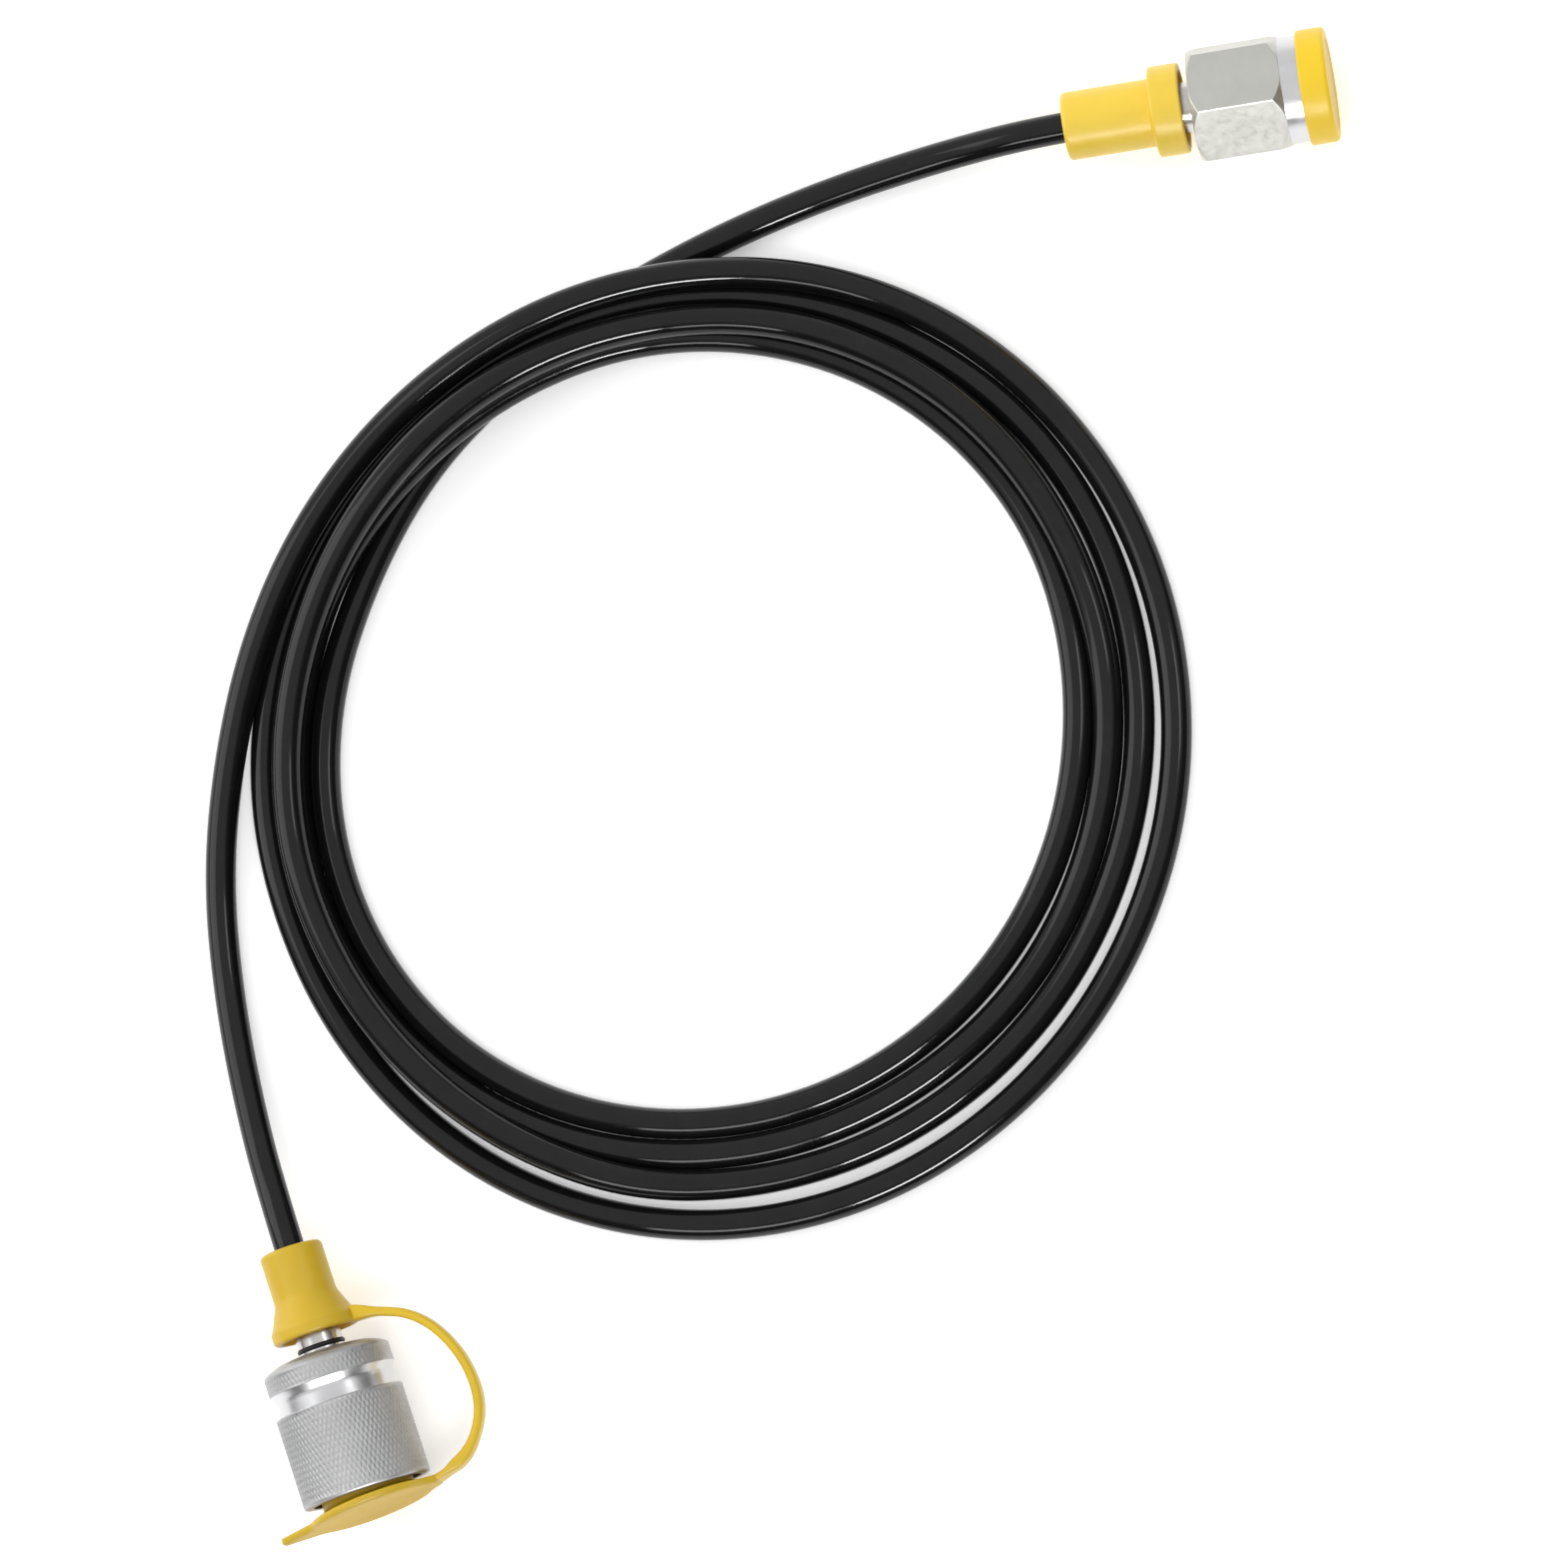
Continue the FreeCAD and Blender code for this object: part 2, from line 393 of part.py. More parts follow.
# ---------------------------------------------------------------- routes: straight runs and tangent arcs
def tangent_wire(pts, radii_out=None):
    """Straight runs joined by arcs; each arc's radius is 0.45 of the shorter run over tan(half turn)."""
    edges, last = [], pts[0]
    for i in range(1, len(pts) - 1):
        a, b, c = pts[i - 1], pts[i], pts[i + 1]
        u, v = (a - b), (c - b)
        la, lc = u.Length, v.Length
        u.normalize()
        v.normalize()
        turn_by = math.pi - u.getAngle(v)
        cut = 0.45 * min(la, lc)
        rad = cut / math.tan(turn_by / 2.0)
        if radii_out is not None:
            radii_out.append(rad)
        p, q = b + u * cut, b + v * cut
        mid_dir = (u + v)
        mid_dir.normalize()
        centre = b + mid_dir * (rad / math.cos(turn_by / 2.0))
        mid = centre - mid_dir * rad
        if (p - last).Length > 1e-6:
            edges.append(Part.LineSegment(last, p).toShape())
        edges.append(Part.Arc(p, mid, q).toShape())
        last = q
    edges.append(Part.LineSegment(last, pts[-1]).toShape())
    return Part.Wire(edges)


def half_frame(side):
    q = Rotation(Vector(0, 0, 1), D[side + "_turn"])
    base = Vector(D[side + "_px"], D[side + "_py"], D[side + "_pz"])
    return base, q


# the strap's route in the knurled half's own frame: station along the axis, offset to its side
STRAP = [(24.4, 12.9), (26.6, 22.5), (35.3, 33.9), (47.8, 39.9), (60.6, 40.8), (70.4, 36.4), (78.0, 27.6), (81.0, 20.1)]
strap_pts = [Vector(a, b, 0) for a, b in STRAP]
strap_wire = tangent_wire(strap_pts)
d0 = (strap_pts[1] - strap_pts[0]).normalize()
side0 = Vector(-d0.y, d0.x, 0)
hw, ht = D["strap_w"] / 2.0, D["strap_t"] / 2.0
rect = [strap_pts[0] + side0 * (s * ht) + Vector(0, 0, t * hw) for s, t in ((-1, -1), (1, -1), (1, 1), (-1, 1))]
rect_wire = Part.makePolygon(rect + [rect[0]])
strap = doc.addObject("Part::Feature", "plug_strap")
strap.Label = "plug_strap"
strap.Shape = strap_wire.makePipeShell([rect_wire], True, False, 1)
base, q = half_frame("kn")
strap.Placement = Placement(base, q)
nodes.append(strap)
print("strap length %.1f mm, volume ratio %.4f" % (strap_wire.Length, strap.Shape.Volume / (strap_wire.Length * D["strap_w"] * D["strap_t"])))

# The hose's route through the object's own frame, from inside the hexagonal half's boot, once
# under the coil, round four turns and on to the knurled half's boot.
ROUTE = [
    (90.6, 197.4, 17.6), (71.9, 195.0, 17.6), (41.2, 189.8, 8.9), (4.4, 179.8, 4.6),
    (-30.4, 165.6, 4.7), (-62.6, 148.4, 4.6), (-91.9, 125.4, 4.6), (-117.4, 99.6, 4.6),
    (-135.4, 67.2, 4.6), (-147.0, 31.6, 4.7), (-147.8, -5.4, 4.6), (-137.2, -40.8, 4.6),
    (-115.0, -71.0, 4.6), (-84.1, -91.6, 4.6), (-48.1, -100.8, 4.6), (-10.8, -98.4, 4.6),
    (23.6, -84.8, 4.6), (52.4, -61.2, 4.6), (72.9, -29.8, 4.6), (82.6, 5.4, 4.6),
    (81.9, 43.2, 4.6), (70.6, 78.2, 4.6), (47.8, 107.6, 4.6), (16.8, 128.4, 4.7),
    (-19.0, 138.4, 4.6), (-55.2, 136.8, 7.4), (-88.8, 123.2, 13.5), (-118.8, 100.8, 14.4),
    (-142.2, 72.4, 10.3), (-155.0, 38.8, 4.7), (-157.8, 2.0, 4.6), (-150.0, -34.6, 4.7),
    (-131.2, -66.6, 4.6), (-103.4, -91.6, 4.7), (-69.6, -106.4, 4.6), (-32.4, -110.4, 4.7),
    (4.0, -103.8, 4.6), (37.2, -87.2, 4.6), (64.8, -62.2, 4.7), (83.2, -30.2, 4.6),
    (91.9, 6.2, 4.7), (90.8, 42.8, 8.0), (78.4, 77.6, 11.0), (56.6, 107.8, 11.6),
    (26.6, 129.8, 11.8), (-8.6, 141.8, 12.6), (-45.0, 141.4, 16.4), (-80.4, 130.6, 21.2),
    (-111.2, 110.2, 23.7), (-135.5, 82.4, 21.4), (-151.8, 50.2, 15.8), (-158.5, 14.0, 13.8),
    (-154.4, -23.0, 13.9), (-139.5, -57.0, 13.9), (-116.0, -85.6, 13.6), (-85.4, -106.8, 12.6),
    (-50.4, -118.8, 8.4), (-14.0, -117.8, 4.6), (21.6, -107.4, 4.6), (53.0, -87.6, 4.6),
    (77.9, -60.0, 4.6), (94.2, -26.8, 4.6), (101.6, 9.6, 4.6), (99.0, 46.6, 4.6),
    (86.6, 81.8, 4.7), (64.9, 111.8, 4.6), (35.2, 134.0, 4.7), (0.5, 148.0, 4.6),
    (-35.0, 150.6, 9.3), (-70.4, 142.8, 15.2), (-103.0, 127.6, 10.2), (-131.2, 104.4, 4.7),
    (-152.4, 73.8, 4.6), (-164.4, 38.8, 4.6), (-167.0, 1.6, 4.6), (-159.5, -34.6, 4.6),
    (-143.8, -68.2, 4.6), (-120.0, -96.6, 4.6), (-89.4, -117.6, 4.6), (-54.2, -129.2, 4.6),
    (-17.2, -130.6, 4.6), (19.0, -122.0, 4.6), (51.4, -104.2, 4.6), (78.4, -78.8, 4.6),
    (98.4, -47.4, 4.6), (110.0, -12.4, 4.6), (112.6, 24.6, 4.7), (106.0, 61.2, 4.6),
    (90.2, 94.6, 4.7), (66.4, 123.0, 4.6), (36.0, 144.2, 5.6), (1.6, 155.4, 10.4),
    (-34.8, 155.8, 17.3), (-69.8, 147.0, 23.5), (-102.1, 131.6, 19.9), (-131.0, 109.4, 13.7),
    (-153.2, 79.6, 13.3), (-168.0, 45.6, 12.7), (-177.0, 10.4, 7.6), (-180.5, -25.4, 4.6),
    (-176.5, -63.0, 4.7), (-167.4, -100.0, 10.2), (-156.8, -128.2, 19.7), (-150.8, -146.2, 19.7),
]


def hose_tube(label, pts):
    radii = []
    wire = tangent_wire(pts, radii)
    d = pts[1] - pts[0]
    outer = wire.makePipeShell([Part.Wire([Part.Circle(pts[0], d, D["hose_od"] / 2.0).toShape()])], True, True, 1)
    inner = wire.makePipeShell([Part.Wire([Part.Circle(pts[0], d, D["hose_id"] / 2.0).toShape()])], True, True, 1)
    f = doc.addObject("Part::Feature", label)
    f.Label = label
    f.Shape = outer.cut(inner)
    f.Placement = Placement()
    nodes.append(f)
    area = math.pi * (D["hose_od"] ** 2 - D["hose_id"] ** 2) / 4.0
    runs = [(pts[i + 1] - pts[i]).Length for i in range(len(pts) - 1)]
    print("%s length %.1f mm, volume ratio %.4f, radii %s, runs %s" % (
        label, wire.Length, f.Shape.Volume / (wire.Length * area),
        [round(x) for x in radii], [round(x, 1) for x in runs]))
    return f


route = [Vector(*p) for p in ROUTE]
base, q = half_frame("hx")
hose_tube("hose_tail_hex", [base + q.multVec(Vector(D["hx_hose_end"], 0, 0))] + route[1:7])
base, q = half_frame("kn")
hose_tube("hose_tail_sleeve", route[97:-1] + [base + q.multVec(Vector(D["kn_hose_end"], 0, 0))])

# The coil's four turns as one closed ring with the coil's own outline, inside and outside
OUTER = [(116.8, 14.1), (112.8, 51.9), (99.0, 87.7), (76.2, 118.9), (45.9, 143.0), (9.9, 157.7), (-28.6, 160.9), (-66.3, 154.5), (-100.0, 137.6), (-130.2, 115.7), (-154.0, 86.4), (-171.1, 52.2), (-171.2, 14.1), (-167.2, -23.1), (-154.3, -58.5), (-132.6, -89.9), (-102.9, -114.7), (-67.2, -130.1), (-28.6, -135.1), (9.8, -129.4), (45.0, -113.5), (74.6, -89.2), (97.0, -58.5), (111.4, -23.5)]
INNER = [(76.7, 14.1), (75.0, 41.8), (66.8, 69.2), (51.3, 94.0), (28.9, 113.7), (1.6, 127.0), (-28.6, 132.4), (-59.4, 128.9), (-87.9, 116.7), (-110.9, 96.4), (-126.9, 70.8), (-137.8, 43.3), (-142.3, 14.1), (-139.2, -15.6), (-128.2, -43.5), (-109.4, -66.8), (-84.9, -83.4), (-57.2, -92.5), (-28.6, -94.1), (-1.1, -88.6), (23.8, -76.8), (45.0, -59.6), (61.4, -37.9), (72.2, -13.0)]


def ring_wire(pts):
    v = [Vector(x, y, 0) for x, y in pts]
    n = len(v)
    return Part.Wire([Part.Arc(v[i], v[i + 1], v[(i + 2) % n]).toShape() for i in range(0, n, 2)])


coil_face = Part.Face(ring_wire(OUTER)).cut(Part.Face(ring_wire(INNER)))
coil = doc.addObject("Part::Feature", "hose_coil")
coil.Label = "hose_coil"
coil.Shape = coil_face.Faces[0].extrude(Vector(0, 0, D["coil_height"]))
coil.Placement = Placement()
nodes.append(coil)

doc.recompute()

# ---------------------------------------------------------------- checks and export
for obj in doc.Objects:
    if "Invalid" in obj.State or "Error" in obj.State:
        raise RuntimeError("%s is %s" % (obj.Name, obj.State))
for g in guides:
    want = math.pi * (D["guide_r"] ** 2 - D["guide_bore"] ** 2 - 4 * D["flow_r"] ** 2) * 2.4
    if abs(g.Shape.Volume - want) > 0.5:
        raise RuntimeError("%s: volume %.2f, wanted %.2f" % (g.Label, g.Shape.Volume, want))
if hexb.Shape.Volume > turn.Shape.Volume - 500:
    raise RuntimeError("the flats were not milled")
box = None
for obj in nodes:
    shape = obj.Shape
    if shape.isNull() or not shape.isValid() or len(shape.Solids) != 1:
        raise RuntimeError("%s: bad shape, %d solids" % (obj.Label, len(shape.Solids)))
    if not obj.Label.startswith("hose_"):
        b = shape.optimalBoundingBox()
        box = b if box is None else box.united(b)
    shape.exportStep("parts/%s.step" % obj.Label)
print("couplings' box", [round(v, 3) for v in (box.XMin, box.XMax, box.YMin, box.YMax, box.ZMin, box.ZMax)])
print(len(nodes), "nodes written")
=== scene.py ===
import math

import bmesh
import bpy
import numpy as np
from mathutils import Matrix, Vector

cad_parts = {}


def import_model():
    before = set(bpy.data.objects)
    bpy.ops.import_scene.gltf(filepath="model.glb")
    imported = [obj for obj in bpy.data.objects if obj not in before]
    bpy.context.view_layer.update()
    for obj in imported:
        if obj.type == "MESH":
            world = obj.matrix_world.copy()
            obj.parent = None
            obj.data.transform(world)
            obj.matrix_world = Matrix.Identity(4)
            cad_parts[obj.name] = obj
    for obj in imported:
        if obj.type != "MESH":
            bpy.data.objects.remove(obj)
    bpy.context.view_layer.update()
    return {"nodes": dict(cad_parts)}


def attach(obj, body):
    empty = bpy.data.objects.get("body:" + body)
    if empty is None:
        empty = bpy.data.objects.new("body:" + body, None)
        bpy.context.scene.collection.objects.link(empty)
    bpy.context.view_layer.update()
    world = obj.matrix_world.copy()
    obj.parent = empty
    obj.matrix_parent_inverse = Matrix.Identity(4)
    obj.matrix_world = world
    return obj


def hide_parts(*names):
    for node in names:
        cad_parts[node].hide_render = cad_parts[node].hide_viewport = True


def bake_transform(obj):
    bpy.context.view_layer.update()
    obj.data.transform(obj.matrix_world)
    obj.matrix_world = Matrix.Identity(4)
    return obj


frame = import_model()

MM = 0.001
HOSE_D = 9.3
# the two coupling halves: where each one's own axis starts, and its direction in the floor plane
HALF = {
    "hx": (Vector((80.72, 196.15, 17.6)), math.radians(7.53)),
    "kn": (Vector((-153.89, -136.74, 19.65)), math.radians(-71.44)),
}
MAIN = "hose_assembly"


# ------------------------------------------------------------------ camera
cam_data = bpy.data.cameras.new("camera")
cam_data.sensor_width = 36.0
cam_data.lens = 168.26
cam_data.clip_start = 0.05
cam_data.clip_end = 20.0
cam = bpy.data.objects.new("camera", cam_data)
bpy.context.scene.collection.objects.link(cam)
right = Vector((0.98621731, 0.0, -0.1654552))
up = Vector((0.01594466, 0.99534573, 0.09504025))
back = Vector((0.16468513, -0.09636847, 0.98162718))
look = Vector((-0.00735, 0.00225, 0.0))
m = Matrix((right, up, back)).transposed().to_4x4()
m.translation = look + 2.2 * back
cam.matrix_world = m
bpy.context.scene.camera = cam

# ------------------------------------------------------------------ the hose
ROUTE = [
    (90.6, 197.4, 17.6), (71.9, 195.0, 17.6), (41.2, 189.8, 8.9), (4.4, 179.8, 4.6),
    (-30.4, 165.6, 4.7), (-62.6, 148.4, 4.6), (-91.9, 125.4, 4.6), (-117.4, 99.6, 4.6),
    (-135.4, 67.2, 4.6), (-147.0, 31.6, 4.7), (-147.8, -5.4, 4.6), (-137.2, -40.8, 4.6),
    (-115.0, -71.0, 4.6), (-84.1, -91.6, 4.6), (-48.1, -100.8, 4.6), (-10.8, -98.4, 4.6),
    (23.6, -84.8, 4.6), (52.4, -61.2, 4.6), (72.9, -29.8, 4.6), (82.6, 5.4, 4.6),
    (81.9, 43.2, 4.6), (70.6, 78.2, 4.6), (47.8, 107.6, 4.6), (16.8, 128.4, 4.7),
    (-19.0, 138.4, 4.6), (-55.2, 136.8, 7.4), (-88.8, 123.2, 13.5), (-118.8, 100.8, 14.4),
    (-142.2, 72.4, 10.3), (-155.0, 38.8, 4.7), (-157.8, 2.0, 4.6), (-150.0, -34.6, 4.7),
    (-131.2, -66.6, 4.6), (-103.4, -91.6, 4.7), (-69.6, -106.4, 4.6), (-32.4, -110.4, 4.7),
    (4.0, -103.8, 4.6), (37.2, -87.2, 4.6), (64.8, -62.2, 4.7), (83.2, -30.2, 4.6),
    (91.9, 6.2, 4.7), (90.8, 42.8, 8.0), (78.4, 77.6, 11.0), (56.6, 107.8, 11.6),
    (26.6, 129.8, 11.8), (-8.6, 141.8, 12.6), (-45.0, 141.4, 16.4), (-80.4, 130.6, 21.2),
    (-111.2, 110.2, 23.7), (-135.5, 82.4, 21.4), (-151.8, 50.2, 15.8), (-158.5, 14.0, 13.8),
    (-154.4, -23.0, 13.9), (-139.5, -57.0, 13.9), (-116.0, -85.6, 13.6), (-85.4, -106.8, 12.6),
    (-50.4, -118.8, 8.4), (-14.0, -117.8, 4.6), (21.6, -107.4, 4.6), (53.0, -87.6, 4.6),
    (77.9, -60.0, 4.6), (94.2, -26.8, 4.6), (101.6, 9.6, 4.6), (99.0, 46.6, 4.6),
    (86.6, 81.8, 4.7), (64.9, 111.8, 4.6), (35.2, 134.0, 4.7), (0.5, 148.0, 4.6),
    (-35.0, 150.6, 9.3), (-70.4, 142.8, 15.2), (-103.0, 127.6, 10.2), (-131.2, 104.4, 4.7),
    (-152.4, 73.8, 4.6), (-164.4, 38.8, 4.6), (-167.0, 1.6, 4.6), (-159.5, -34.6, 4.6),
    (-143.8, -68.2, 4.6), (-120.0, -96.6, 4.6), (-89.4, -117.6, 4.6), (-54.2, -129.2, 4.6),
    (-17.2, -130.6, 4.6), (19.0, -122.0, 4.6), (51.4, -104.2, 4.6), (78.4, -78.8, 4.6),
    (98.4, -47.4, 4.6), (110.0, -12.4, 4.6), (112.6, 24.6, 4.7), (106.0, 61.2, 4.6),
    (90.2, 94.6, 4.7), (66.4, 123.0, 4.6), (36.0, 144.2, 5.6), (1.6, 155.4, 10.4),
    (-34.8, 155.8, 17.3), (-69.8, 147.0, 23.5), (-102.1, 131.6, 19.9), (-131.0, 109.4, 13.7),
    (-153.2, 79.6, 13.3), (-168.0, 45.6, 12.7), (-177.0, 10.4, 7.6), (-180.5, -25.4, 4.6),
    (-176.5, -63.0, 4.7), (-167.4, -100.0, 10.2), (-156.8, -128.2, 19.7), (-150.8, -146.2, 19.7),
]


def nurbs(name, pts, bevel=0.0, res=12):
    c = bpy.data.curves.new(name, "CURVE")
    c.dimensions = "3D"
    sp = c.splines.new("NURBS")
    sp.points.add(len(pts) - 1)
    for p, q in zip(sp.points, pts):
        p.co = (q[0] * MM, q[1] * MM, q[2] * MM, 1.0)
        p.radius = MM  # the bevel is in millimetres, and each point's radius turns it into metres
    sp.order_u = 3
    sp.use_endpoint_u = True
    sp.resolution_u = res
    c.bevel_depth = bevel
    c.bevel_resolution = 10
    c.use_fill_caps = True
    o = bpy.data.objects.new(name, c)
    bpy.context.scene.collection.objects.link(o)
    return o


hose = nurbs("hose", ROUTE, HOSE_D / 2.0, 10)
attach(hose, MAIN)
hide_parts("hose_tail_hex", "hose_coil", "hose_tail_sleeve")


# ------------------------------------------------------------------ node materials
def new_mat(name):
    mat = bpy.data.materials.new(name)
    mat.use_nodes = True
    nt = mat.node_tree
    return mat, nt, nt.nodes["Principled BSDF"]


def add(nt, kind, **kw):
    n = nt.nodes.new(kind)
    for k, v in kw.items():
        setattr(n, k, v)
    return n


def noise(nt, scale, detail=3.0, rough=0.55, stretch=None):
    tc = add(nt, "ShaderNodeTexCoord")
    n = add(nt, "ShaderNodeTexNoise")
    n.inputs["Scale"].default_value = scale
    n.inputs["Detail"].default_value = detail
    n.inputs["Roughness"].default_value = rough
    if stretch:
        mp = add(nt, "ShaderNodeMapping")
        mp.inputs["Rotation"].default_value = stretch[0]
        mp.inputs["Scale"].default_value = stretch[1]
        nt.links.new(tc.outputs["Object"], mp.inputs["Vector"])
        nt.links.new(mp.outputs["Vector"], n.inputs["Vector"])
    else:
        nt.links.new(tc.outputs["Object"], n.inputs["Vector"])
    return n.outputs["Fac"]


def ramp(nt, src, stops):
    r = add(nt, "ShaderNodeValToRGB")
    e = r.color_ramp.elements
    while len(e) < len(stops):
        e.new(0.5)
    for el, (pos, col) in zip(e, stops):
        el.position = pos
        el.color = (col[0], col[1], col[2], 1.0)
    nt.links.new(src, r.inputs["Fac"])
    return r.outputs["Color"]


def spread(nt, src, lo, hi, a=0.3, b=0.7):
    r = add(nt, "ShaderNodeMapRange")
    r.inputs["From Min"].default_value = a
    r.inputs["From Max"].default_value = b
    r.inputs["To Min"].default_value = lo
    r.inputs["To Max"].default_value = hi
    nt.links.new(src, r.inputs["Value"])
    return r.outputs["Result"]


def bump(nt, bsdf, parts):
    """parts: (height source, strength, distance in metres), chained."""
    last = None
    for src, strength, dist in parts:
        b = add(nt, "ShaderNodeBump")
        b.inputs["Strength"].default_value = strength
        b.inputs["Distance"].default_value = dist
        nt.links.new(src, b.inputs["Height"])
        if last is not None:
            nt.links.new(last, b.inputs["Normal"])
        last = b.outputs["Normal"]
    nt.links.new(last, bsdf.inputs["Normal"])


def scale_col(c, k):
    return tuple(min(1.0, x * k) for x in c)


def rubber(name, col, rough=(0.42, 0.55), grain=0.25, sheen_spec=0.5):
    mat, nt, bs = new_mat(name)
    big = noise(nt, 55.0, 3.0)
    nt.links.new(ramp(nt, big, [(0.25, scale_col(col, 0.93)), (0.5, col), (0.8, scale_col(col, 1.05))]), bs.inputs["Base Color"])
    fine = noise(nt, 2600.0, 4.0, 0.6)
    nt.links.new(spread(nt, noise(nt, 320.0, 4.0), rough[0], rough[1]), bs.inputs["Roughness"])
    bs.inputs["Specular IOR Level"].default_value = sheen_spec
    bs.inputs["Subsurface Weight"].default_value = 0.0
    bump(nt, bs, [(noise(nt, 240.0, 3.0), 0.25, 0.00035), (fine, grain, 0.00012)])
    return mat


def metal(name, col, rough, grain=0.2, fine_scale=3200.0, blotch=0.06, coat=0.0, stretch=None, dist=0.00008):
    mat, nt, bs = new_mat(name)
    bs.inputs["Metallic"].default_value = 1.0
    big = noise(nt, 85.0, 4.0, 0.6)
    nt.links.new(ramp(nt, big, [(0.3, scale_col(col, 1.0 - blotch)), (0.55, col), (0.75, scale_col(col, 1.0 + blotch))]), bs.inputs["Base Color"])
    nt.links.new(spread(nt, noise(nt, 420.0, 5.0, 0.65), rough[0], rough[1]), bs.inputs["Roughness"])
    bump(nt, bs, [(noise(nt, 700.0, 3.0), grain * 0.6, dist * 1.5), (noise(nt, fine_scale, 3.0, 0.6, stretch), grain, dist)])
    return mat


def hose_mat():
    mat, nt, bs = new_mat("hose_cover")
    scuff = noise(nt, 130.0, 6.0, 0.7)
    col = ramp(nt, scuff, [(0.35, (0.0052, 0.0052, 0.0058)), (0.6, (0.0070, 0.0070, 0.0076)), (0.78, (0.0125, 0.0125, 0.0130))])
    nt.links.new(col, bs.inputs["Base Color"])
    nt.links.new(spread(nt, noise(nt, 210.0, 5.0, 0.6), 0.07, 0.12), bs.inputs["Roughness"])
    bs.inputs["Specular IOR Level"].default_value = 0.30
    bump(nt, bs, [(noise(nt, 60.0, 2.0), 0.05, 0.0006), (noise(nt, 1300.0, 3.0), 0.05, 0.00004)])
    return mat


M = {
    "hose": hose_mat(),
    "boot": rubber("boot_rubber", (0.93, 0.65, 0.060), (0.30, 0.40), 0.16),
    "boot2": rubber("boot_rubber_b", (0.64, 0.42, 0.014), (0.36, 0.46), 0.16),
    "strap": rubber("strap_rubber", (0.74, 0.49, 0.012), (0.36, 0.46), 0.16),
    "face2": rubber("disc_face", (0.70, 0.46, 0.050), (0.55, 0.68), 0.25),
    # the boots' inner cups: the boot yellow painted darker and more orange, as painted shade in the recess
    "cup": rubber("boot_rubber_shaded", (0.93, 0.50, 0.016), (0.4, 0.5)),
    "cap": rubber("cap_plastic", (0.96, 0.645, 0.012), (0.34, 0.46), 0.12),
    "face": rubber("cap_face", (0.85, 0.61, 0.18), (0.45, 0.6), 0.25),
    "zinc": metal("zinc_nickel", (0.59, 0.59, 0.55), (0.35, 0.47), 0.14, 2400.0, 0.05),
    "polished": metal("polished_steel", (0.66, 0.66, 0.67), (0.27, 0.36), 0.08, 4200.0, 0.03),
    "knurl": metal("knurled_steel", (0.47, 0.47, 0.475), (0.38, 0.58), 0.5, 1900.0, 0.07),
    "turned": metal("turned_steel", (0.62, 0.61, 0.59), (0.18, 0.30), 0.12, 3600.0, 0.03),
    # the sleeve's inner bore: the steel painted near-black, as painted shade inside the sleeve
    "dark": metal("bore_steel_painted_shade", (0.10, 0.095, 0.09), (0.45, 0.6), 0.2),
    "spring": metal("spring_wire", (0.58, 0.58, 0.59), (0.15, 0.26), 0.08),
    "seal": rubber("nitrile", (0.012, 0.012, 0.012), (0.32, 0.45), 0.15),
    "ptfe": rubber("ptfe", (0.80, 0.78, 0.72), (0.35, 0.5), 0.1),
}
hose.data.materials.append(M["hose"])
CAD_MAT = {
    "hex_hose_insert": "turned", "sleeve_hose_insert": "turned", "nose_body": "turned",
    "hex_crimp_ferrule": "turned", "sleeve_crimp_ferrule": "turned", "hex_poppet": "turned",
    "sleeve_poppet": "turned", "hex_valve_guide": "turned", "sleeve_valve_guide": "turned",
    "hex_snap_ring": "spring", "sleeve_snap_ring": "spring", "hex_poppet_spring": "spring",
    "sleeve_poppet_spring": "spring", "hex_port_seal": "seal", "sleeve_port_seal": "seal",
    "neck_o_ring": "seal", "nose_o_ring": "seal", "hex_poppet_seal": "seal",
    "sleeve_poppet_seal": "seal", "nose_backup_ring": "ptfe",
}
for node, key in CAD_MAT.items():
    o = frame["nodes"][node]
    o.data.materials.clear()
    o.data.materials.append(M[key])


# ------------------------------------------------------------------ turned pieces
def world(side, a, y, z):
    p, t = HALF[side]
    c, s = math.cos(t), math.sin(t)
    return ((p.x + a * c - y * s) * MM, (p.y + a * s + y * c) * MM, (p.z + z) * MM)


